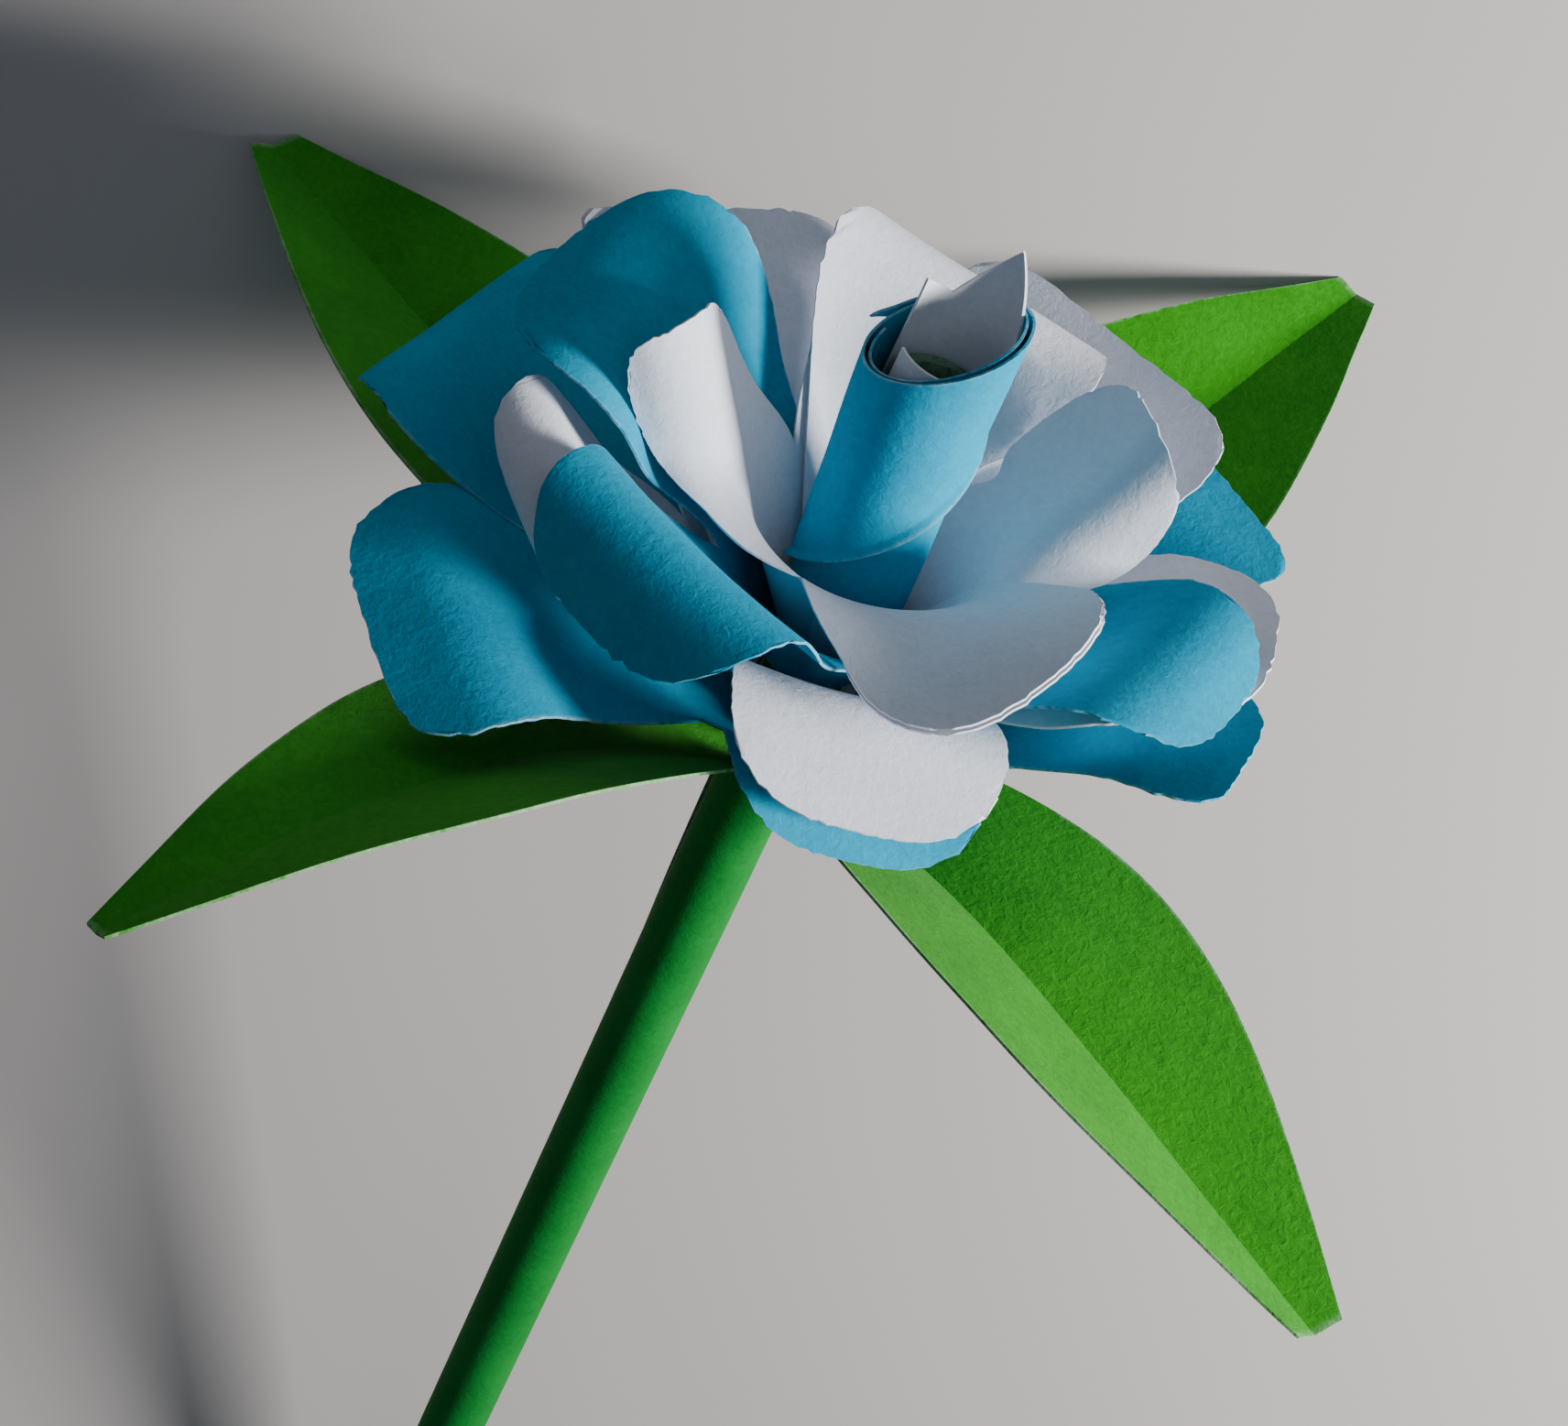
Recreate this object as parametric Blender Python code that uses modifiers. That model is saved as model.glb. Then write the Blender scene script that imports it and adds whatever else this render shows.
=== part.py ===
"""Paper rose on a rolled paper stem: three petal cups, a ring of two petal strips and a rolled bud,
glued one inside the other on a green stem above a four-leaf star. Every sheet starts as a flat cut
square, is curled petal by petal and is then rolled into its cup.

The flower is modelled in its own frame, with the stem along +Z and the leaf star at z = 0. An empty
then lays it down as it rests on a table: on the end of its stem and the tips of its two back leaves."""

import math

import bmesh
import bpy
from mathutils import Matrix, Vector

MM = 0.001

# Paper
PAPER_THICKNESS = 0.2 * MM
GLUE_GAP = 0.3 * MM  # between two sheets, or a sheet and the stem
SHEET_STEP = PAPER_THICKNESS + GLUE_GAP  # from one sheet's middle to the next one's

# Petals: a square folded three times and cut gives eight petals of 45 degrees
BLUE_PETAL = 43 * MM  # from the centre of the square to the petal's tip
WHITE_PETAL = 40 * MM
STRIP_PETAL = 36 * MM
NOTCH_LENGTH = 19 * MM  # from the centre to where two petals part
HALF_WEDGE = math.pi / 8
NOTCH_GAPE = 0.05  # share of the wedge that the scissors take at each side of a notch
PETAL_COLUMNS = 6
RING_ROWS = 3
PETAL_ROWS = 8

# Stem
STEM_RADIUS = 3.25 * MM
STEM_WALL = 0.9 * MM
STEM_LENGTH = 200 * MM
STEM_TOP = 34 * MM  # above the leaves
SEAM_STEP = 0.15 * MM  # the edge of the rolled sheet
SEAM_TWIST = math.radians(230)  # over the whole stem
STEM_SIDES = 24
STEM_RINGS = 8

# Leaf star: one square, cut into four leaves that stay joined round the stem
LEAF_LENGTH = 70 * MM
LEAF_NOTCH = 9 * MM
LEAF_COLUMNS = 4
LEAF_ROWS = 12

BLUE = (0.0, 0.43, 0.66)
WHITE = (0.78, 0.80, 0.84)
LEAF_GREEN = (0.02, 0.24, 0.01)
STEM_GREEN = (0.01, 0.22, 0.03)


def curl(start, radius, turn, toward=0):
    """Rolls a sheet down past a line that lies `start` from its centre, square to the direction
    `toward`, in degrees from the petal's middle. It turns round `radius` until it has turned
    `turn` degrees. A negative turn rolls it up. Both lengths are shares of the petal's own."""
    return start, radius, math.radians(turn), math.radians(toward)


# Each cup: the petals in order round the stem, the first one glued under the last. A petal has its
# place in degrees, its curls from the tip inwards and the squareness of its two corners.
OUTER_BLUE = {
    "name": "outer_blue_cup", "color": BLUE, "length": BLUE_PETAL, "seat": 0.6 * MM, "around": 6,
    "petals": [
        {"place": 106, "curls": [curl(0.698, 0.233, 40)]},
        {"place": 170, "curls": [curl(0.9, 0.05, 100), curl(0.14, 0.581, 14)], "corners": (9, 6)},
        {"place": 217, "trim_end": 0.95, "curls": [curl(0.7, 0.2, 45), curl(0.14, 0.581, 15)],
         "corners": (3, 8)},
        {"place": 288, "trim_end": 0.76, "curls": [curl(0.56, 0.116, 120)]},
        {"place": 349, "trim": (0.3, 0), "trim_end": 0.93, "curls": [curl(0.698, 0.279, 20)],
         "corners": (9, 2)},
        {"place": 410, "trim_end": 0.96, "curls": [curl(0.698, 0.349, 30), curl(0.14, 0.581, -2)],
         "corners": (9, 3)},
        {"place": 466, "curls": [curl(0.698, 0.233, 40)]},
    ],
}
OUTER_WHITE = {
    "name": "outer_white_cup", "color": WHITE, "length": WHITE_PETAL, "seat": 3.0 * MM, "around": 5,
    "petals": [
        {"place": 134, "curls": [curl(0.2, 1, 3)], "corners": (3, 30)},
        {"place": 216, "curls": [curl(0.8, 0.062, 200, 10), curl(0.2, 0.75, 6)]},
        {"place": 287, "trim_end": 0.9, "curls": [curl(0.56, 0.15, 75)]},
        {"place": 362, "curls": [curl(0.7, 0.35, 20), curl(0.2, 0.75, 7)]},
        {"place": 424, "curls": [curl(0.2, 1, -3)], "corners": (8, 6)},
        {"place": 494, "curls": [curl(0.2, 1, 3)], "corners": (3, 30)},
    ],
}
INNER_BLUE = {
    "name": "inner_blue_cup", "color": BLUE, "length": BLUE_PETAL, "seat": 6.5 * MM, "around": 4,
    "petals": [
        {"place": 82, "flat": 0.2, "trim_end": 0.72, "curls": []},
        {"place": 174, "flat": 0.5, "curls": [curl(0.7, 0.16, 75, 15), curl(0.116, 0.465, 10, 40)]},
        {"place": 240, "trim": (0.12, 0), "curls": [curl(0.744, 0.093, 110), curl(0.186, 0.698, 15)]},
        {"place": 343, "trim_end": 0.91, "curls": [curl(0.721, 0.163, 60), curl(0.233, 0.581, 17)]},
        {"place": 442, "flat": 0.2, "trim_end": 0.72, "curls": []},
    ],
}
FRONT_PETAL = {"place": 308, "trim_end": 0.94, "curls": [curl(0.222, 0.556, 25, -40)]}
BACK_PETAL = {"place": 92, "flat": 0.4, "curls": [curl(0.833, 0.078, 110, -8)], "corners": (6, 6)}
LEFT_STRIP = {
    "name": "inner_white_strip_left", "color": WHITE, "length": STRIP_PETAL, "seat": 9.6 * MM,
    "around": 4,
    "petals": [
        BACK_PETAL,
        {"place": 195, "trim": (0, 0.45), "trim_end": 0.93, "curls": [curl(0.06, 0.095, 95, 82)]},
        FRONT_PETAL,
    ],
}
RIGHT_STRIP = {
    "name": "inner_white_strip_right", "color": WHITE, "length": STRIP_PETAL, "seat": 9.6 * MM,
    "around": 4,
    "petals": [
        FRONT_PETAL,
        {"place": 392, "trim": (0, 0.45), "trim_end": 0.93, "curls": [curl(0.056, 0.139, 60, -86)]},
        BACK_PETAL,
    ],
}

# Bud: a blue strip wound round the stem's top, and a white petal rolled inside its mouth
WRAP_BOTTOM = 14.5 * MM
WRAP_TOP = 37.5 * MM
WRAP_SLANT = 3 * MM  # the rim stands this much higher at the back right, and lower at the front left
WRAP_RADII = (4.6 * MM, 5.3 * MM)  # at the bottom and the top, to its outer turn
WRAP_SHIFTS = (0.2 * MM, -0.8 * MM)  # how far it stands off the stem's axis, bottom and top
WRAP_START = 160  # degrees, the inner end of the wound strip
WRAP_ENDS = (600, 760)  # its outer end, a slanting cut from bottom to top
BUD_BOTTOM = 26 * MM
# Its top edge, cut in straight lines: degrees round the stem, and mm above the leaves
BUD_EDGE = ((-150, 36.5), (-25, 36.5), (30, 40.5), (68, 44), (120, 39), (156, 40))
BUD_FLAP = 0.4 * MM  # its end, bent out to the left

LEAVES = [
    {"place": 62, "length": 0.98, "width": 0.19, "tip": 0.029, "folds": (15, 15),
     "curls": [curl(0.057, 0.143, -24)]},
    {"place": 150, "length": 1, "width": 0.2, "tip": 0.036, "folds": (15, 15),
     "curls": [curl(0.057, 0.286, -5)]},
    {"place": 241, "length": 0.93, "width": 0.15, "tip": 0.014, "folds": (-10, 34),
     "curls": [curl(0.286, 0.9, 35), curl(0.057, 0.143, -26)]},
    {"place": 321, "length": 0.88, "width": 0.18, "tip": 0.036, "folds": (28, 8),
     "curls": [curl(0.171, 1.4, 14), curl(0.057, 0.143, -15)]},
]
BACK_LEAVES = LEAVES[:2]  # the flower lies on these two and on the end of its stem


def clear_scene():
    for obj in list(bpy.data.objects):
        bpy.data.objects.remove(obj, do_unlink=True)


def paper(name, color):
    material = bpy.data.materials.new(name)
    material.use_nodes = True
    shader = material.node_tree.nodes["Principled BSDF"]
    shader.inputs["Base Color"].default_value = (*color, 1)
    shader.inputs["Roughness"].default_value = 0.85
    shader.inputs["Metallic"].default_value = 0
    return material


def new_object(name, bm, color):
    bmesh.ops.recalc_face_normals(bm, faces=bm.faces)
    mesh = bpy.data.meshes.new(name)
    bm.to_mesh(mesh)
    bm.free()
    mesh.materials.append(paper(name + "_paper", color))
    mesh.shade_smooth()
    obj = bpy.data.objects.new(name, mesh)
    flower.objects.link(obj)
    obj.parent = lying
    return obj


def thicken(obj, thickness):
    wall = obj.modifiers.new("paper", "SOLIDIFY")
    wall.thickness = thickness
    wall.offset = 0
    wall.use_even_offset = True
    wall.use_quality_normals = True


def smooth(t):
    t = min(1, max(0, t))
    return t * t * (3 - 2 * t)


def bend(point, start, radius, turn, toward):
    """One curl of the flat sheet: x runs along the petal, y across it, and height is outwards."""
    x, y, height = point
    c, s = math.cos(toward), math.sin(toward)
    along, across = x * c + y * s, y * c - x * s
    past = along - start
    if past <= 0:
        return point
    side = math.copysign(1, turn)
    turned = min(past / radius, abs(turn))
    rest = past - turned * radius
    arm = radius - side * height
    along = start + arm * math.sin(turned) + rest * math.cos(turned)
    height = side * (radius - arm * math.cos(turned) + rest * math.sin(turned))
    return along * c - across * s, along * s + across * c, height


def cut_petal(petal, length, hub, u, v):
    """The flat sheet: u from -1 to 1 across the petal, v from -1 at the hub to 0 at the notches and
    1 at the tip. Returns the distance and the angle from the sheet's centre."""
    if v <= 0:
        return hub + (NOTCH_LENGTH - hub) * (1 + v), HALF_WEDGE * u
    square = petal.get("corners", (3, 3))[u > 0]
    rounding = 1 / (1 + square)
    gape = NOTCH_GAPE * (1 - (1 - v) ** 3) + petal.get("trim", (0, 0))[u > 0] * smooth(v * 3)
    angle = HALF_WEDGE * u * (1 - gape) * (1 - rounding * v ** square)
    end = length / math.cos(angle)
    return NOTCH_LENGTH + (end - NOTCH_LENGTH) * v * (1 - rounding * abs(u) ** square), angle


def petal_point(cup, petal, u, v, lift):
    """The same point in the flower's frame, once the petal is curled and the sheet rolled."""
    sine = (cup["around"] / 8)
    cosine = math.sqrt(1 - sine * sine)
    hub = (STEM_RADIUS + GLUE_GAP + (lift + PAPER_THICKNESS) * cosine) / sine
    apex = cup["seat"] - STEM_RADIUS * cosine / sine
    size = cup["length"]
    far, angle = cut_petal(petal, size * petal.get("trim_end", 1), hub, u, v)
    past_notch = far / NOTCH_LENGTH - 1
    flatness = petal.get("flat", 0.8) * smooth(past_notch / 0.6 + 0.2)
    point = (far * math.cos(angle), far * math.sin(angle), -lift)
    for start, radius, turn, toward in petal["curls"]:
        share = smooth(past_notch / 0.5) if toward else 1
        point = bend(point, start * size, radius * size, turn * share, toward)
    x, y, height = point
    far = math.hypot(x, y)
    radius = far * sine + height * cosine
    turn = math.atan2(y, x) * far / radius
    rolled = Vector((radius * math.cos(turn), radius * math.sin(turn), far * cosine - height * sine))
    flat = Vector((x * sine + height * cosine, y, x * cosine - height * sine))
    place = Matrix.Rotation(math.radians(petal["place"]), 3, "Z")
    return place @ rolled.lerp(flat, flatness) + Vector((0, 0, apex))


def strip_of_petals(cup):
    """One cut sheet. Neighbouring petals share their fold line up to the notch between them."""
    bm = bmesh.new()
    petals = cup["petals"]
    rise = SHEET_STEP / (cup["around"] if len(petals) > 3 else 2)

    def spread(index, side):
        other = index + side
        if not 0 <= other < len(petals):
            return 0
        gap = side * (petals[other]["place"] - petals[index]["place"]) % 360
        return side * (math.radians(gap / 2) - math.pi / cup["around"])

    def point(index, u, v):
        lift = rise * (index + (u + 1) / 2)
        turn = spread(index, 1 if u > 0 else -1) * u * u * (1 - smooth(v * 2))
        return Matrix.Rotation(turn, 3, "Z") @ petal_point(cup, petals[index], u, v, lift)

    def miss(index, side, v):
        other = index + side
        if not 0 <= other < len(petals):
            return Vector()
        return (point(other, -side, v) - point(index, side, v)) / 2

    rows = [row / RING_ROWS - 1 for row in range(RING_ROWS)]
    rows += [1 - (1 - row / PETAL_ROWS) ** 1.3 for row in range(PETAL_ROWS + 1)]
    for index in range(len(petals)):
        grid = bmesh.ops.create_grid(bm, x_segments=PETAL_COLUMNS, y_segments=len(rows) - 1, size=1)
        for vert in grid["verts"]:
            u = vert.co.x
            v = rows[round((vert.co.y + 1) / 2 * (len(rows) - 1))]
            side = 1 if u > 0 else -1
            share = u * u * (1 - smooth(v * 2))
            vert.co = point(index, u, v) + share * miss(index, side, min(v, 0))
    bmesh.ops.remove_doubles(bm, verts=bm.verts, dist=0.001 * MM)
    thicken(new_object(cup["name"], bm, cup["color"]), PAPER_THICKNESS)


def leaf_point(leaf, u, v):
    """A leaf: a quarter of the square, folded up along its middle."""
    fold = math.radians(leaf["folds"][u > 0])
    length = LEAF_LENGTH * leaf["length"]
    if v <= 0:
        far = LEAF_NOTCH + (LEAF_NOTCH - STEM_RADIUS - GLUE_GAP) * v
        angle = math.pi / 4 * u
        x, y = far * math.cos(angle), far * math.sin(angle)
        fold *= smooth(1 + v)
    else:
        start = LEAF_NOTCH * math.cos(math.pi / 4)
        x = start + (length - start) * v
        bulge = math.sin(math.pi * v ** 0.8)
        half = start * (1 - v) + leaf["tip"] * LEAF_LENGTH * v
        half += (leaf["width"] * LEAF_LENGTH - start / 2) * bulge
        arc = LEAF_NOTCH * (math.cos(math.pi / 4 * u) - math.cos(math.pi / 4)) * (1 - v) ** 2
        x, y = x + arc, half * u
    point = (x, y * math.cos(fold), -abs(y) * math.sin(fold))
    for start, radius, turn, toward in leaf["curls"]:
        point = bend(point, start * LEAF_LENGTH, radius * LEAF_LENGTH, turn, toward)
    place = Matrix.Rotation(math.radians(leaf["place"]), 3, "Z")
    return place @ Vector((point[0], point[1], -point[2]))


def leaf_star():
    bm = bmesh.new()
    rows = [-1, -0.5] + [row / LEAF_ROWS for row in range(LEAF_ROWS + 1)]
    for index, leaf in enumerate(LEAVES):
        grid = bmesh.ops.create_grid(bm, x_segments=LEAF_COLUMNS, y_segments=len(rows) - 1, size=1)
        for vert in grid["verts"]:
            u = vert.co.x
            v = rows[round((vert.co.y + 1) / 2 * (len(rows) - 1))]
            side = 1 if u > 0 else -1
            other = LEAVES[(index + side) % len(LEAVES)]
            low = min(v, 0)
            miss = (leaf_point(other, -side, low) - leaf_point(leaf, side, low)) / 2
            vert.co = leaf_point(leaf, u, v) + u * u * (1 - smooth(v * 4)) * miss
    bmesh.ops.remove_doubles(bm, verts=bm.verts, dist=0.001 * MM)
    thicken(new_object("leaf_star", bm, LEAF_GREEN), PAPER_THICKNESS)


def rolled_sheet(name, color, columns, rows, place_point):
    """A sheet that is one grid: u runs round it and v up it, both from 0 to 1."""
    bm = bmesh.new()
    grid = bmesh.ops.create_grid(bm, x_segments=columns, y_segments=rows, size=0.5)
    for vert in grid["verts"]:
        vert.co = place_point(vert.co.x + 0.5, vert.co.y + 0.5)
    thicken(new_object(name, bm, color), PAPER_THICKNESS)


def mix(pair, share):
    return pair[0] + (pair[1] - pair[0]) * share


def wrap_point(u, v):
    end = mix(WRAP_ENDS, v)
    angle = mix((WRAP_START, end), u)
    top = WRAP_TOP + WRAP_SLANT * math.cos(math.radians(angle - 20))
    radius = mix(WRAP_RADII, v) - SHEET_STEP * (end - angle) / 360
    around = math.radians(angle)
    x = mix(WRAP_SHIFTS, v) + radius * math.cos(around)
    return Vector((x, radius * math.sin(around), mix((WRAP_BOTTOM, top), v)))


def bud_height(degrees):
    for (low, start), (high, end) in zip(BUD_EDGE, BUD_EDGE[1:]):
        if degrees < high:
            return mix((start, end), (degrees - low) / (high - low)) * MM
    return end * MM


def bud_point(u, v):
    degrees = mix((BUD_EDGE[0][0], BUD_EDGE[-1][0]), u)
    fold, last = BUD_EDGE[-2][0], BUD_EDGE[-1][0]
    flap = BUD_FLAP * max(0, degrees - fold) / (last - fold)
    radius = STEM_RADIUS + GLUE_GAP + PAPER_THICKNESS / 2 + flap
    around = math.radians(degrees)
    z = mix((BUD_BOTTOM, bud_height(degrees)), v)
    return Vector((radius * math.cos(around), radius * math.sin(around), z))


def stem():
    """A rolled tube: its outline steps in at the sheet's edge, and that edge winds up the stem."""
    bm = bmesh.new()
    ring = bmesh.ops.create_circle(bm, segments=STEM_SIDES, radius=STEM_RADIUS)["verts"]
    for vert in ring:
        share = (math.atan2(vert.co.y, vert.co.x) % math.tau) / math.tau
        vert.co *= 1 - SEAM_STEP / STEM_RADIUS * share
        vert.co.z = (STEM_TOP - STEM_LENGTH)
    obj = new_object("stem", bm, STEM_GREEN)
    screw = obj.modifiers.new("length", "SCREW")
    screw.angle = SEAM_TWIST
    screw.screw_offset = STEM_LENGTH
    screw.steps = screw.render_steps = STEM_RINGS
    screw.use_merge_vertices = False
    screw.merge_threshold = 0.001 * MM
    wall = obj.modifiers.new("wall", "SOLIDIFY")
    wall.thickness = STEM_WALL
    wall.offset = 1  # inwards: the screw's normals face the axis


def resting_turn():
    """The turn that puts the two back leaves' tips and the end of the stem on the floor, with the
    stem along Y."""
    rim = [math.tau * side / STEM_SIDES for side in range(STEM_SIDES)]
    supports = [[leaf_point(leaf, u, 1) for u in (-1, 0, 1)] for leaf in BACK_LEAVES]
    supports.append([Vector((STEM_RADIUS * math.cos(a), STEM_RADIUS * math.sin(a), (STEM_TOP - STEM_LENGTH)))
                     for a in rim])
    up = Vector((0, -1, 0))
    for _ in range(4):
        right, left, foot = [min(points, key=up.dot) for points in supports]
        up = (foot - left).cross(right - left).normalized()
    along = Vector((0, 0, 1)) - up * up.z
    along.normalize()
    return Matrix((along.cross(up), along, up)).to_4x4()


def lay_down():
    """Turns the flower to its rest, its box's middle over the origin and its lowest point at 0."""
    lying.matrix_world = resting_turn()
    bpy.context.view_layer.update()
    graph = bpy.context.evaluated_depsgraph_get()
    points = []
    for obj in flower.objects:
        if obj.type == "MESH":
            mesh = obj.evaluated_get(graph).data
            points += [obj.matrix_world @ vert.co for vert in mesh.vertices]
    low = [min(point[axis] for point in points) for axis in range(3)]
    high = [max(point[axis] for point in points) for axis in range(3)]
    lying.location = (-(low[0] + high[0]) / 2, -(low[1] + high[1]) / 2, -low[2])


clear_scene()
flower = bpy.data.collections.new("paper_rose")
bpy.context.scene.collection.children.link(flower)
lying = bpy.data.objects.new("lying", None)
flower.objects.link(lying)

stem()
leaf_star()
for cup in (OUTER_BLUE, OUTER_WHITE, INNER_BLUE, LEFT_STRIP, RIGHT_STRIP):
    strip_of_petals(cup)
rolled_sheet("blue_bud_wrap", BLUE, 32, 6, wrap_point)
rolled_sheet("white_bud", WHITE, 28, 4, bud_point)
lay_down()
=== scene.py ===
import math

import bpy
from mathutils import Matrix, Vector, noise


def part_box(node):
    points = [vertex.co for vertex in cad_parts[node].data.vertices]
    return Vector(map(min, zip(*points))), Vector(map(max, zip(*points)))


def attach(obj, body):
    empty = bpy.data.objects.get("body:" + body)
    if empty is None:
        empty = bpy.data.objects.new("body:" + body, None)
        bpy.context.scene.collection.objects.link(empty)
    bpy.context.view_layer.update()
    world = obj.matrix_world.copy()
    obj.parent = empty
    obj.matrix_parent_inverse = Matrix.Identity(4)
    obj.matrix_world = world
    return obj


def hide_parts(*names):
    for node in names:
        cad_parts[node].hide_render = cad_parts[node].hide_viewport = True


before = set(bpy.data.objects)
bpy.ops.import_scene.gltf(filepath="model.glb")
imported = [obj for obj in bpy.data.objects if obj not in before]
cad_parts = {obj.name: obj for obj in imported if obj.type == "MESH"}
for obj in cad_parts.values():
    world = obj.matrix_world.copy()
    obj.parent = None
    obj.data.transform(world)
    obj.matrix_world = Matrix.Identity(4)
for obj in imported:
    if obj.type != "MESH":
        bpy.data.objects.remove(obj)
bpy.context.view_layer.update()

mm = 0.001
noise.seed_set(1)  # otherwise noise_vector starts from the clock, and each run differs
print("frame loaded:", ", ".join(sorted(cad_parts)))


# small helpers

def deselectAll():
    if bpy.context.object and bpy.context.object.mode != "OBJECT":
        bpy.ops.object.mode_set(mode="OBJECT")
    bpy.ops.object.select_all(action="DESELECT")


def pickOnly(obj):
    deselectAll()
    obj.select_set(True)
    bpy.context.view_layer.objects.active = obj


def applyModifiers(obj):
    pickOnly(obj)
    for modifier in list(obj.modifiers):
        bpy.ops.object.modifier_apply(modifier=modifier.name)


def smooth(t):
    t = min(1, max(0, t))
    return t * t * (3 - 2 * t)


def mix(a, b, share):
    return a + (b - a) * share


# the paper, sizes in mm
paper = {
    "thickness": 0.2,
    "glueGap": 0.3,       # between two sheets, or a sheet and the stem
    "step": 0.5,          # from one sheet's middle to the next one's, glue and all
    "wobble": 0.2,        # how far a sheet strays from a clean curve
    "wobbleSpan": 11,
    "edgeWobble": 0.007,  # share of the petal's length
    "edgeSpan": 1.6,
}

# a square folded three times, then cut
cut = {
    "wedge": math.pi / 8,
    "notch": 19,          # from the square's centre to where two petals part
    "gape": 0.05,         # share of the wedge that the scissors take at each side of a notch
    "corners": (3, 3),    # how square the petal's two corners are, unless its own line says
    "flat": 0.8,          # how flat its outer part stays when it is rolled, likewise
    "columns": 36,
    "ringRows": 8,
    "petalRows": 48,
}

tube = {
    "radius": 3.25,
    "length": 200,
    "top": 34,            # above the leaves
    "layers": 3.4,        # how often the sheet goes round
    "innerRadius": 2.35,
    "seamTwist": 230,     # degrees, over the whole stem
    "sides": 24,          # points round its ends, for the way it rests
    "columns": 170,
    "rows": 70,
}


# how a flat sheet is curled and rolled, with the stem along Z

def curl(start, radius, turn, toward=0):
    # lengths are shares of the petal's own, angles are degrees
    return start, radius, math.radians(turn), math.radians(toward)


def bend(point, start, radius, turn, toward):
    x, y, height = point
    c, s = math.cos(toward), math.sin(toward)
    along, across = x * c + y * s, y * c - x * s
    past = along - start
    if past <= 0:
        return point
    side = math.copysign(1, turn)
    turned = min(past / radius, abs(turn))
    rest = past - turned * radius
    arm = radius - side * height
    along = start + arm * math.sin(turned) + rest * math.cos(turned)
    height = side * (radius - arm * math.cos(turned) + rest * math.sin(turned))
    return along * c - across * s, along * s + across * c, height


def flatPetal(petal, size, hub, u, v):
    # v runs from -1 at the stem over 0 at the notch to 1 at the tip, and u from side to side
    notch = cut["notch"]
    if v <= 0:
        return hub + (notch - hub) * (1 + v), cut["wedge"] * u
    square = petal.get("corners", cut["corners"])[u > 0]
    rounding = 1 / (1 + square)
    gape = cut["gape"] * (1 - (1 - v) ** 3)
    gape += petal.get("trim", (0, 0))[u > 0] * smooth(v * 3)
    ragged = noise.noise(Vector((petal["place"] + u * 20, v * 20, 0))) * paper["edgeWobble"]
    angle = cut["wedge"] * u * (1 - gape + ragged * 2 * v) * (1 - rounding * v ** square)
    end = size * (1 + ragged) / math.cos(angle)
    return notch + (end - notch) * v * (1 - rounding * abs(u) ** square), angle


def petalPoint(cup, petal, u, v, lift):
    # the flat petal is curled, then rolled into the cone of its cup
    sine = cup["around"] / 8
    cosine = math.sqrt(1 - sine * sine)
    hub = (tube["radius"] + paper["glueGap"] + (lift + paper["thickness"]) * cosine) / sine
    apex = cup["seat"] - tube["radius"] * cosine / sine
    size = cup["length"]
    far, angle = flatPetal(petal, size * petal.get("trimEnd", 1), hub, u, v)
    pastNotch = far / cut["notch"] - 1
    flatness = petal.get("flat", cut["flat"]) * smooth(pastNotch / 0.6 + 0.2)
    point = (far * math.cos(angle), far * math.sin(angle), -lift)
    for start, radius, turn, toward in petal["curls"]:
        share = smooth(pastNotch / 0.5) if toward else 1
        point = bend(point, start * size, radius * size, turn * share, toward)
    x, y, height = point
    far = math.hypot(x, y)
    radius = far * sine + height * cosine
    turn = math.atan2(y, x) * far / radius
    rolled = Vector((radius * math.cos(turn), radius * math.sin(turn), far * cosine - height * sine))
    flat = Vector((x * sine + height * cosine, y, x * cosine - height * sine))
    place = Matrix.Rotation(math.radians(petal["place"]), 3, "Z")
    return place @ rolled.lerp(flat, flatness) + Vector((0, 0, apex))


# leaves, sizes in mm and shares of the length
leaves = {
    "length": 70,
    "notch": 9,
    "columns": 24,
    "rows": 90,
    "each": [
        {"place": 62, "length": 0.98, "width": 0.19, "tip": 0.029, "folds": (15, 15),
         "curls": [curl(0.057, 0.143, -24)]},
        {"place": 150, "length": 1, "width": 0.2, "tip": 0.036, "folds": (15, 15),
         "curls": [curl(0.057, 0.286, -5)]},
        {"place": 241, "length": 0.93, "width": 0.15, "tip": 0.014, "folds": (-10, 34),
         "curls": [curl(0.286, 0.9, 35), curl(0.057, 0.143, -26)]},
        {"place": 321, "length": 0.88, "width": 0.18, "tip": 0.036, "folds": (28, 8),
         "curls": [curl(0.171, 1.4, 14), curl(0.057, 0.143, -15)]},
    ],
}


def leafPoint(leaf, u, v):
    # creased along its middle, then curled. Below v = 0 it is part of the star's ring
    fold = math.radians(leaf["folds"][u > 0])
    length, notch = leaves["length"], leaves["notch"]
    spread = math.pi / 4
    if v <= 0:
        far = notch + (notch - tube["radius"] - paper["glueGap"]) * v
        angle = spread * u
        x, y = far * math.cos(angle), far * math.sin(angle)
        fold *= smooth(1 + v)
    else:
        start = notch * math.cos(spread)
        x = start + (length * leaf["length"] - start) * v
        bulge = math.sin(math.pi * v ** 0.8)
        half = start * (1 - v) + leaf["tip"] * length * v
        half += (leaf["width"] * length - start / 2) * bulge
        arc = notch * (math.cos(spread * u) - math.cos(spread)) * (1 - v) ** 2
        x, y = x + arc, half * u
    point = (x, y * math.cos(fold), -abs(y) * math.sin(fold))
    for start, radius, turn, toward in leaf["curls"]:
        point = bend(point, start * length, radius * length, turn, toward)
    place = Matrix.Rotation(math.radians(leaf["place"]), 3, "Z")
    return place @ Vector((point[0], point[1], -point[2]))


# how the flower lies: on the tips of its two back leaves and the end of its stem

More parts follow.
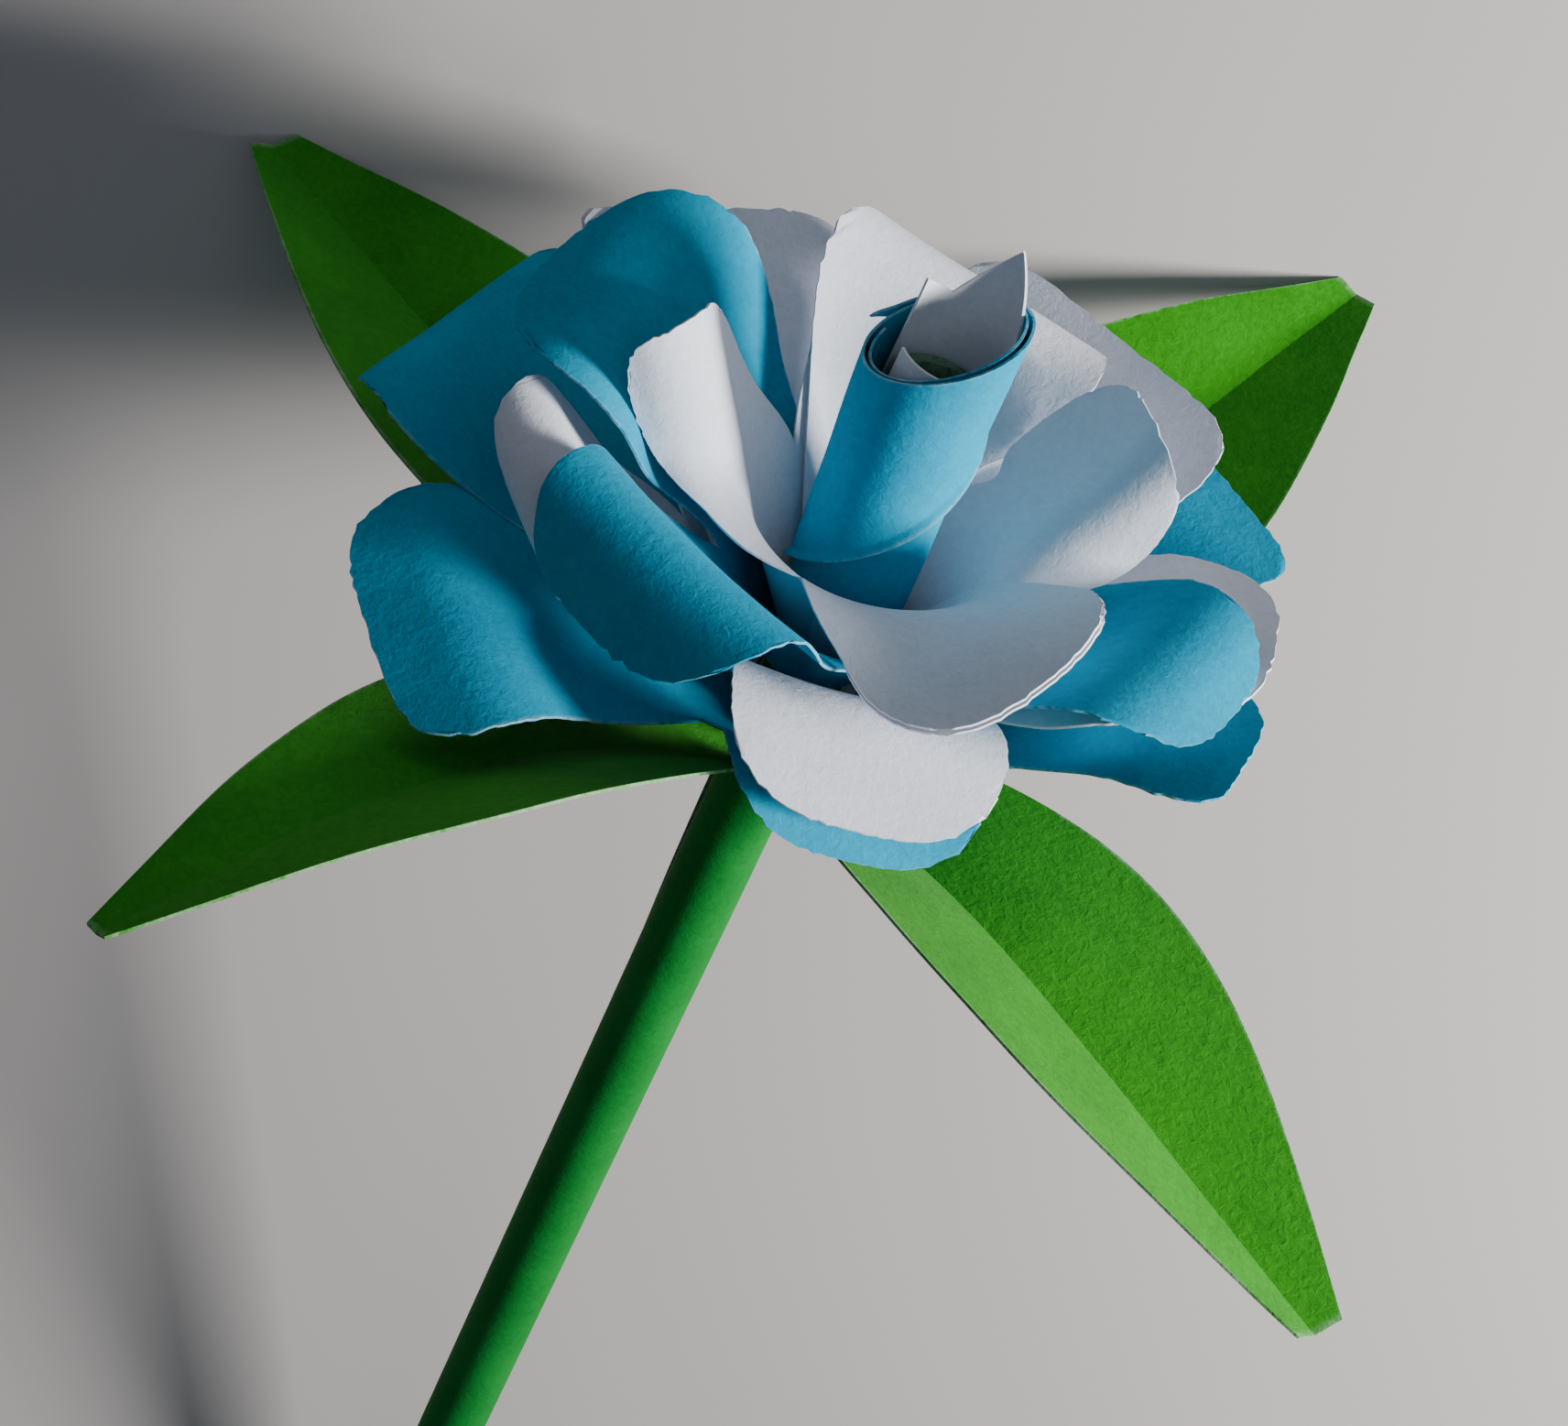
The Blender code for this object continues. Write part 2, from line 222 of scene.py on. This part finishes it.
stemFoot = tube["top"] - tube["length"]


def stemRim(z):
    turns = [math.tau * side / tube["sides"] for side in range(tube["sides"])]
    return [Vector((tube["radius"] * math.cos(turn), tube["radius"] * math.sin(turn), z))
            for turn in turns]


def restingTurn():
    supports = [[leafPoint(leaf, u, 1) for u in (-1, 0, 1)] for leaf in leaves["each"][:2]]
    supports.append(stemRim(stemFoot))
    up = Vector((0, -1, 0))
    for _ in range(4):
        right, left, low = [min(points, key=up.dot) for points in supports]
        up = (low - left).cross(right - left).normalized()
    along = Vector((0, 0, 1)) - up * up.z
    along.normalize()
    return Matrix((along.cross(up), along, up))


lyingTurn = restingTurn()
stemEnds = [lyingTurn @ point for z in (stemFoot, tube["top"]) for point in stemRim(z)]
stemCorner = Vector([min(end[axis] for end in stemEnds) for axis in range(3)])
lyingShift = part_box("stem")[0] - stemCorner * mm
print("the flower lies turned, and shifted by", [round(value / mm, 2) for value in lyingShift])


def lay(point):
    return lyingTurn @ point * mm + lyingShift


def stray(point):
    # sheets that lie on each other stray together, so they don't cross
    return point + noise.noise_vector(point / paper["wobbleSpan"]) * paper["wobble"]


# materials

def newGroup(name, inputs, outputs):
    group = bpy.data.node_groups.new(name, "ShaderNodeTree")
    for label, value in inputs:
        socket = group.interface.new_socket(label, in_out="INPUT", socket_type="NodeSocketFloat")
        socket.default_value = value
    for label in outputs:
        group.interface.new_socket(label, in_out="OUTPUT", socket_type="NodeSocketFloat")
    return group


def makeFibres():
    # short paper fibres, a cloudy tone and the small dents of handling
    group = newGroup("paperFibres", [("Fine", 1500), ("Cloud", 130), ("Dents", 420)],
                     ["Tone", "Height"])
    nodes, links = group.nodes, group.links
    inside = nodes.new("NodeGroupInput")
    outside = nodes.new("NodeGroupOutput")
    coords = nodes.new("ShaderNodeTexCoord")

    def noiseOf(socket, detail, roughness, distortion=0.0):
        texture = nodes.new("ShaderNodeTexNoise")
        texture.inputs["Detail"].default_value = detail
        texture.inputs["Roughness"].default_value = roughness
        texture.inputs["Distortion"].default_value = distortion
        links.new(coords.outputs["Object"], texture.inputs["Vector"])
        links.new(inside.outputs[socket], texture.inputs["Scale"])
        return texture.outputs["Fac"]

    fine = noiseOf("Fine", 3, 0.65, 0.6)
    cloud = noiseOf("Cloud", 2, 0.5)
    dents = noiseOf("Dents", 2, 0.5)

    def combine(a, b, shareOfB):
        node = nodes.new("ShaderNodeMix")
        node.inputs["Factor"].default_value = shareOfB
        links.new(a, node.inputs["A"])
        links.new(b, node.inputs["B"])
        return node.outputs["Result"]

    links.new(combine(fine, cloud, 0.45), outside.inputs["Tone"])
    links.new(combine(fine, dents, 0.4), outside.inputs["Height"])
    return group


fibres = makeFibres()


def makeEdges():
    # how near a cut edge a point lies: 1 at the edge, where the fibres stand up
    group = newGroup("cutEdges", [("Side", 0.012), ("Tip", 0.01)], ["Near"])
    nodes, links = group.nodes, group.links
    inside = nodes.new("NodeGroupInput")
    outside = nodes.new("NodeGroupOutput")
    coords = nodes.new("ShaderNodeTexCoord")
    split = nodes.new("ShaderNodeSeparateXYZ")
    links.new(coords.outputs["UV"], split.inputs["Vector"])

    def calculate(operation, first, second):
        node = nodes.new("ShaderNodeMath")
        node.operation = operation
        node.use_clamp = operation == "SUBTRACT"
        for socket, value in zip(node.inputs, (first, second)):
            if isinstance(value, (int, float)):
                socket.default_value = value
            else:
                links.new(value, socket)
        return node.outputs["Value"]

    across, along = split.outputs["X"], split.outputs["Y"]
    left = calculate("DIVIDE", across, inside.outputs["Side"])
    right = calculate("DIVIDE", calculate("SUBTRACT", 1.0, across), inside.outputs["Side"])
    tip = calculate("DIVIDE", calculate("SUBTRACT", 1.0, along), inside.outputs["Tip"])
    side = calculate("MAXIMUM", calculate("MINIMUM", left, right), calculate("LESS_THAN", along, 0.25))
    nearest = calculate("MINIMUM", side, tip)
    links.new(calculate("SUBTRACT", 1.0, nearest), outside.inputs["Near"])
    return group


cutEdges = makeEdges()


def paperMaterial(name, dark, light, roughness, bumpDistance, sheen):
    # the fibres at a cut edge are paler than the lighter tone
    edgeWhite, edgeShare = 0.8, 0.35
    material = bpy.data.materials.new(name)
    material.use_nodes = True
    nodes, links = material.node_tree.nodes, material.node_tree.links
    shader = nodes["Principled BSDF"]
    fibre = nodes.new("ShaderNodeGroup")
    fibre.node_tree = fibres
    spread = nodes.new("ShaderNodeMapRange")
    spread.inputs["From Min"].default_value = 0.35
    spread.inputs["From Max"].default_value = 0.65
    links.new(fibre.outputs["Tone"], spread.inputs["Value"])
    tint = nodes.new("ShaderNodeMix")
    tint.data_type = "RGBA"
    tint.inputs["A"].default_value = (*dark, 1)
    tint.inputs["B"].default_value = (*light, 1)
    links.new(spread.outputs["Result"], tint.inputs["Factor"])
    edge = nodes.new("ShaderNodeGroup")
    edge.node_tree = cutEdges
    pale = nodes.new("ShaderNodeMath")
    pale.operation = "MULTIPLY"
    links.new(edge.outputs["Near"], pale.inputs[0])
    links.new(spread.outputs["Result"], pale.inputs[1])
    worn = nodes.new("ShaderNodeMix")
    worn.data_type = "RGBA"
    worn.inputs["B"].default_value = (*[mix(value, edgeWhite, edgeShare) for value in light], 1)
    links.new(pale.outputs["Value"], worn.inputs["Factor"])
    links.new(tint.outputs["Result"], worn.inputs["A"])
    links.new(worn.outputs["Result"], shader.inputs["Base Color"])
    bump = nodes.new("ShaderNodeBump")
    bump.inputs["Strength"].default_value = 0.9
    bump.inputs["Distance"].default_value = bumpDistance
    links.new(fibre.outputs["Height"], bump.inputs["Height"])
    links.new(bump.outputs["Normal"], shader.inputs["Normal"])
    shader.inputs["Roughness"].default_value = roughness
    shader.inputs["Specular IOR Level"].default_value = 0.08
    shader.inputs["Sheen Weight"].default_value = sheen
    shader.inputs["Sheen Roughness"].default_value = 0.6
    return material


# darker and lighter tone, roughness, depth of the fibres and dents in metres, sheen
finishes = {
    "blue": paperMaterial("bluePaper", (0.0, 0.27, 0.45), (0.0, 0.35, 0.55), 0.85, 0.00012, 0.0),
    "white": paperMaterial("whitePaper", (0.70, 0.73, 0.82), (0.80, 0.83, 0.92), 0.85, 0.0001, 0.0),
    "leaf": paperMaterial("leafPaper", (0.018, 0.21, 0.003), (0.035, 0.31, 0.008), 0.8, 0.00016, 0.04),
    "stem": paperMaterial("stemPaper", (0.004, 0.15, 0.02), (0.008, 0.20, 0.03), 0.75, 0.0001, 0.0),
}
print("materials made")


# sheets are grids, shaped point by point and then joined

def addGrid(columns, rows):
    deselectAll()
    bpy.ops.mesh.primitive_grid_add(x_subdivisions=columns, y_subdivisions=rows, size=2)
    return bpy.context.object


def finishSheet(parts, name, node, finish, sharpAngle=35):
    pickOnly(parts[0])
    for part in parts:
        part.select_set(True)
    if len(parts) > 1:
        bpy.ops.object.join()
    obj = bpy.context.object
    obj.name = obj.data.name = name
    bpy.ops.object.mode_set(mode="EDIT")
    bpy.ops.mesh.select_all(action="SELECT")
    bpy.ops.mesh.remove_doubles(threshold=0.001 * mm)
    bpy.ops.mesh.normals_make_consistent(inside=False)
    bpy.ops.object.mode_set(mode="OBJECT")
    wall = obj.modifiers.new("thickness", "SOLIDIFY")
    wall.thickness = paper["thickness"] * mm
    wall.offset = 0
    wall.use_quality_normals = True
    applyModifiers(obj)
    bpy.ops.object.shade_smooth_by_angle(angle=math.radians(sharpAngle))
    obj.data.materials.clear()
    obj.data.materials.append(finishes[finish])
    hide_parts(node)
    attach(obj, "root")
    print(name, "has", len(obj.data.polygons), "faces")


def makeCup(cup):
    # each petal lies a little higher than the one before, and neighbours meet in one ring below
    petals = cup["petals"]
    rise = paper["step"] / (cup["around"] if len(petals) > 3 else 2)

    def spread(index, side):
        other = index + side
        if not 0 <= other < len(petals):
            return 0
        gap = side * (petals[other]["place"] - petals[index]["place"]) % 360
        return side * (math.radians(gap / 2) - math.pi / cup["around"])

    def point(index, u, v):
        lift = rise * (index + (u + 1) / 2)
        turn = spread(index, 1 if u > 0 else -1) * u * u * (1 - smooth(v * 2))
        return Matrix.Rotation(turn, 3, "Z") @ petalPoint(cup, petals[index], u, v, lift)

    def miss(index, side, v):
        other = index + side
        if not 0 <= other < len(petals):
            return Vector()
        return (point(other, -side, v) - point(index, side, v)) / 2

    rows = [row / cut["ringRows"] - 1 for row in range(cut["ringRows"])]
    rows += [1 - (1 - row / cut["petalRows"]) ** 1.3 for row in range(cut["petalRows"] + 1)]
    parts = []
    for index in range(len(petals)):
        part = addGrid(cut["columns"], len(rows) - 1)
        misses = {}
        for vert in part.data.vertices:
            u = vert.co.x
            row = round((vert.co.y + 1) / 2 * (len(rows) - 1))
            v = rows[row]
            side = 1 if u > 0 else -1
            low = min(v, 0)
            if (side, low) not in misses:
                misses[side, low] = miss(index, side, low)
            share = u * u * (1 - smooth(v * 2))
            vert.co = lay(stray(point(index, u, v) + share * misses[side, low]))
        parts.append(part)
    finishSheet(parts, cup["piece"], cup["node"], cup["finish"])


# Petals in order round the stem: place in degrees, curls from the tip inwards, then the margins
# trimmed off its two sides and its tip, the squareness of its two corners, and how flat it stays.
outerBlue = {
    "piece": "outerBluePetals", "node": "outer_blue_cup", "finish": "blue",
    "length": 43, "seat": 0.6, "around": 6,
    "petals": [
        {"place": 106, "curls": [curl(0.698, 0.233, 40)]},
        {"place": 170, "curls": [curl(0.9, 0.05, 100), curl(0.14, 0.581, 14)], "corners": (9, 6)},
        {"place": 217, "trimEnd": 0.95, "curls": [curl(0.7, 0.2, 45), curl(0.14, 0.581, 15)],
         "corners": (3, 8)},
        {"place": 288, "trimEnd": 0.76, "curls": [curl(0.56, 0.116, 120)]},
        {"place": 349, "trim": (0.3, 0), "trimEnd": 0.93, "curls": [curl(0.698, 0.279, 20)],
         "corners": (9, 2)},
        {"place": 410, "trimEnd": 0.96, "curls": [curl(0.698, 0.349, 30), curl(0.14, 0.581, -2)],
         "corners": (9, 3)},
        {"place": 466, "curls": [curl(0.698, 0.233, 40)]},
    ],
}
outerWhite = {
    "piece": "outerWhitePetals", "node": "outer_white_cup", "finish": "white",
    "length": 40, "seat": 3.0, "around": 5,
    "petals": [
        {"place": 134, "curls": [curl(0.2, 1, 3)], "corners": (3, 30)},
        {"place": 216, "curls": [curl(0.8, 0.062, 200, 10), curl(0.2, 0.75, 6)]},
        {"place": 287, "trimEnd": 0.9, "curls": [curl(0.56, 0.15, 75)]},
        {"place": 362, "curls": [curl(0.7, 0.35, 20), curl(0.2, 0.75, 7)]},
        {"place": 424, "curls": [curl(0.2, 1, -3)], "corners": (8, 6)},
        {"place": 494, "curls": [curl(0.2, 1, 3)], "corners": (3, 30)},
    ],
}
innerBlue = {
    "piece": "innerBluePetals", "node": "inner_blue_cup", "finish": "blue",
    "length": 43, "seat": 6.5, "around": 4,
    "petals": [
        {"place": 82, "flat": 0.2, "trimEnd": 0.72, "curls": []},
        {"place": 174, "flat": 0.5, "curls": [curl(0.7, 0.16, 75, 15), curl(0.116, 0.465, 10, 40)]},
        {"place": 240, "trim": (0.12, 0), "curls": [curl(0.744, 0.093, 110), curl(0.186, 0.698, 15)]},
        {"place": 343, "trimEnd": 0.94, "curls": [curl(0.721, 0.163, 60), curl(0.233, 0.581, 20)]},
        {"place": 442, "flat": 0.2, "trimEnd": 0.72, "curls": []},
    ],
}
frontPetal = {"place": 308, "trimEnd": 0.9, "curls": [curl(0.3, 0.4, 60, -35)]}
backPetal = {"place": 92, "flat": 0.4, "curls": [curl(0.833, 0.078, 110, -8)], "corners": (6, 6)}
leftStrip = {
    "piece": "innerWhiteLeft", "node": "inner_white_strip_left", "finish": "white",
    "length": 36, "seat": 9.6, "around": 4,
    "petals": [
        backPetal,
        {"place": 196, "trim": (0, 0.45), "trimEnd": 0.94, "curls": [curl(0.04, 0.1, 102, 82)],
         "corners": (2, 4)},
        frontPetal,
    ],
}
rightStrip = {
    "piece": "innerWhiteRight", "node": "inner_white_strip_right", "finish": "white",
    "length": 36, "seat": 9.6, "around": 4,
    "petals": [
        frontPetal,
        {"place": 394, "trim": (0, 0.45), "trimEnd": 0.95, "curls": [curl(0.056, 0.139, 60, -90)]},
        backPetal,
    ],
}


for cup in (outerBlue, outerWhite, innerBlue, leftStrip, rightStrip):
    makeCup(cup)
print("petals made")


# leaf star

def makeLeaves():
    rows = [-1, -0.75, -0.5, -0.25] + [row / leaves["rows"] for row in range(leaves["rows"] + 1)]
    parts = []
    for index, leaf in enumerate(leaves["each"]):
        part = addGrid(leaves["columns"], len(rows) - 1)
        for vert in part.data.vertices:
            u = vert.co.x
            v = rows[round((vert.co.y + 1) / 2 * (len(rows) - 1))]
            side = 1 if u > 0 else -1
            other = leaves["each"][(index + side) % len(leaves["each"])]
            low = min(v, 0)
            miss = (leafPoint(other, -side, low) - leafPoint(leaf, side, low)) / 2
            point = leafPoint(leaf, u, v) + u * u * (1 - smooth(v * 4)) * miss
            vert.co = lay(stray(point))
        parts.append(part)
    finishSheet(parts, "leafStar", "leaf_star", "leaf", 20)


makeLeaves()
print("leaves made")


# bud: a blue strip wound round the top of the stem, and a white petal rolled inside it

bud = {
    "bottom": 14.5, "top": 37.5,
    "slant": 3,                  # the rim rises and falls by this much
    "radii": (4.6, 5.3),         # bottom and top, to the outer turn
    "shifts": (0.2, -0.8),       # off the stem's axis
    "start": 160,
    "ends": (520, 880),          # the outer end is a slanting cut
    "lift": 0.4,                 # and stands off a little
    "highSide": 20,              # where the rim is highest
    "whiteBottom": 26,
    # the white petal's top edge, cut straight: degrees round the stem, and height
    "whiteEdge": [(-150, 36.5), (-25, 36.5), (30, 40.5), (68, 44), (120, 39), (156, 40)],
    "flap": 0.4,                 # how far its last part lifts off the roll
}


def wrapPoint(u, v):
    end = mix(*bud["ends"], v)
    angle = mix(bud["start"], end, u)
    top = bud["top"] + bud["slant"] * math.cos(math.radians(angle - bud["highSide"]))
    radius = mix(*bud["radii"], v) - paper["step"] * (end - angle) / 360
    radius += bud["lift"] * smooth((u - 0.97) / 0.03)
    around = math.radians(angle)
    x = mix(*bud["shifts"], v) + radius * math.cos(around)
    return Vector((x, radius * math.sin(around), mix(bud["bottom"], top, v)))


def whiteHeight(degrees):
    edge = bud["whiteEdge"]
    for (low, start), (high, end) in zip(edge, edge[1:]):
        if degrees < high:
            return mix(start, end, (degrees - low) / (high - low))
    return end


def whitePoint(u, v):
    edge = bud["whiteEdge"]
    fold, last = edge[-2][0], edge[-1][0]
    degrees = mix(edge[0][0], last, u)
    flap = bud["flap"] * max(0, degrees - fold) / (last - fold)
    radius = tube["radius"] + paper["glueGap"] + paper["thickness"] / 2 + flap
    around = math.radians(degrees)
    z = mix(bud["whiteBottom"], whiteHeight(degrees), v)
    return Vector((radius * math.cos(around), radius * math.sin(around), z))


def makeRolled(piece, node, finish, columns, rows, placePoint):
    part = addGrid(columns, rows)
    for vert in part.data.vertices:
        point = placePoint((vert.co.x + 1) / 2, (vert.co.y + 1) / 2)
        vert.co = lay(stray(point))
    finishSheet([part], piece, node, finish)


makeRolled("blueBudWrap", "blue_bud_wrap", "blue", 200, 40, wrapPoint)
makeRolled("whiteBud", "white_bud", "white", 140, 40, whitePoint)
print("bud made")


# stem: one sheet rolled up tight, its edge winding round the tube

def stemPoint(u, v):
    angle = math.radians(tube["seamTwist"]) * v + math.tau * tube["layers"] * (u - 1)
    radius = mix(tube["innerRadius"], tube["radius"] - paper["thickness"] / 2, u)
    z = mix(stemFoot, tube["top"], v)
    return Vector((radius * math.cos(angle), radius * math.sin(angle), z))


def makeStem():
    part = addGrid(tube["columns"], tube["rows"])
    for vert in part.data.vertices:
        vert.co = lay(stemPoint((vert.co.x + 1) / 2, (vert.co.y + 1) / 2))
    finishSheet([part], "rolledStem", "stem", "stem")


makeStem()
print("stem made")


# floor, light and camera

studio = {
    "floorSize": 3.0, "floorColor": (0.5, 0.47, 0.46),
    "skyColor": (0.65, 0.8, 1), "skyStrength": 0.11,
    # places in the flower's own frame, in mm, with the stem along Z
    "target": (0, 0, 20),
    "key": {"place": (370, -95, 135), "size": 0.1, "power": 4.1, "color": (1, 0.98, 0.95)},
    "fill": {"place": (250, -620, 440), "size": 0.5, "power": 0.6, "color": (0.9, 0.95, 1)},
}

# the camera, in the flower's own frame, with the stem along Z
view = {
    "place": (0, -150.6, 126.9),
    "right": (0.906, 0.271, 0.326),
    "down": (0.424, -0.580, -0.697),
    "forward": (0, 0.770, -0.640),
    "lens": 59,
}


def makeFloor():
    deselectAll()
    bpy.ops.mesh.primitive_plane_add(size=studio["floorSize"])
    floor = bpy.context.object
    floor.name = "floor"
    material = bpy.data.materials.new("floorFinish")
    material.use_nodes = True
    shader = material.node_tree.nodes["Principled BSDF"]
    shader.inputs["Base Color"].default_value = (*studio["floorColor"], 1)
    shader.inputs["Roughness"].default_value = 0.95
    floor.data.materials.append(material)


def makeCamera():
    data = bpy.data.cameras.new("camera")
    camera = bpy.data.objects.new("camera", data)
    bpy.context.scene.collection.objects.link(camera)
    right = lyingTurn @ Vector(view["right"])
    down = lyingTurn @ Vector(view["down"])
    forward = lyingTurn @ Vector(view["forward"])
    turn = Matrix((right, -down, -forward)).transposed()
    camera.matrix_world = Matrix.Translation(lay(Vector(view["place"]))) @ turn.to_4x4()
    data.lens = view["lens"]
    data.sensor_width = 36
    data.clip_start = 0.005
    bpy.context.scene.camera = camera


def addLight(name, lamp):
    bpy.ops.object.light_add(type="AREA")
    light = bpy.context.object
    light.name = name
    light.data.size = lamp["size"]
    light.data.energy = lamp["power"]
    light.data.color = lamp["color"]
    light.location = lay(Vector(lamp["place"]))
    toTarget = lay(Vector(studio["target"])) - light.location
    light.rotation_euler = toTarget.to_track_quat("-Z", "Y").to_euler()


def makeSky():
    world = bpy.data.worlds.new("studio")
    bpy.context.scene.world = world
    world.use_nodes = True
    background = world.node_tree.nodes["Background"]
    background.inputs["Color"].default_value = (*studio["skyColor"], 1)
    background.inputs["Strength"].default_value = studio["skyStrength"]


makeFloor()
makeCamera()
addLight("keyLight", studio["key"])
addLight("fillLight", studio["fill"])
makeSky()
print("floor, light and camera made")
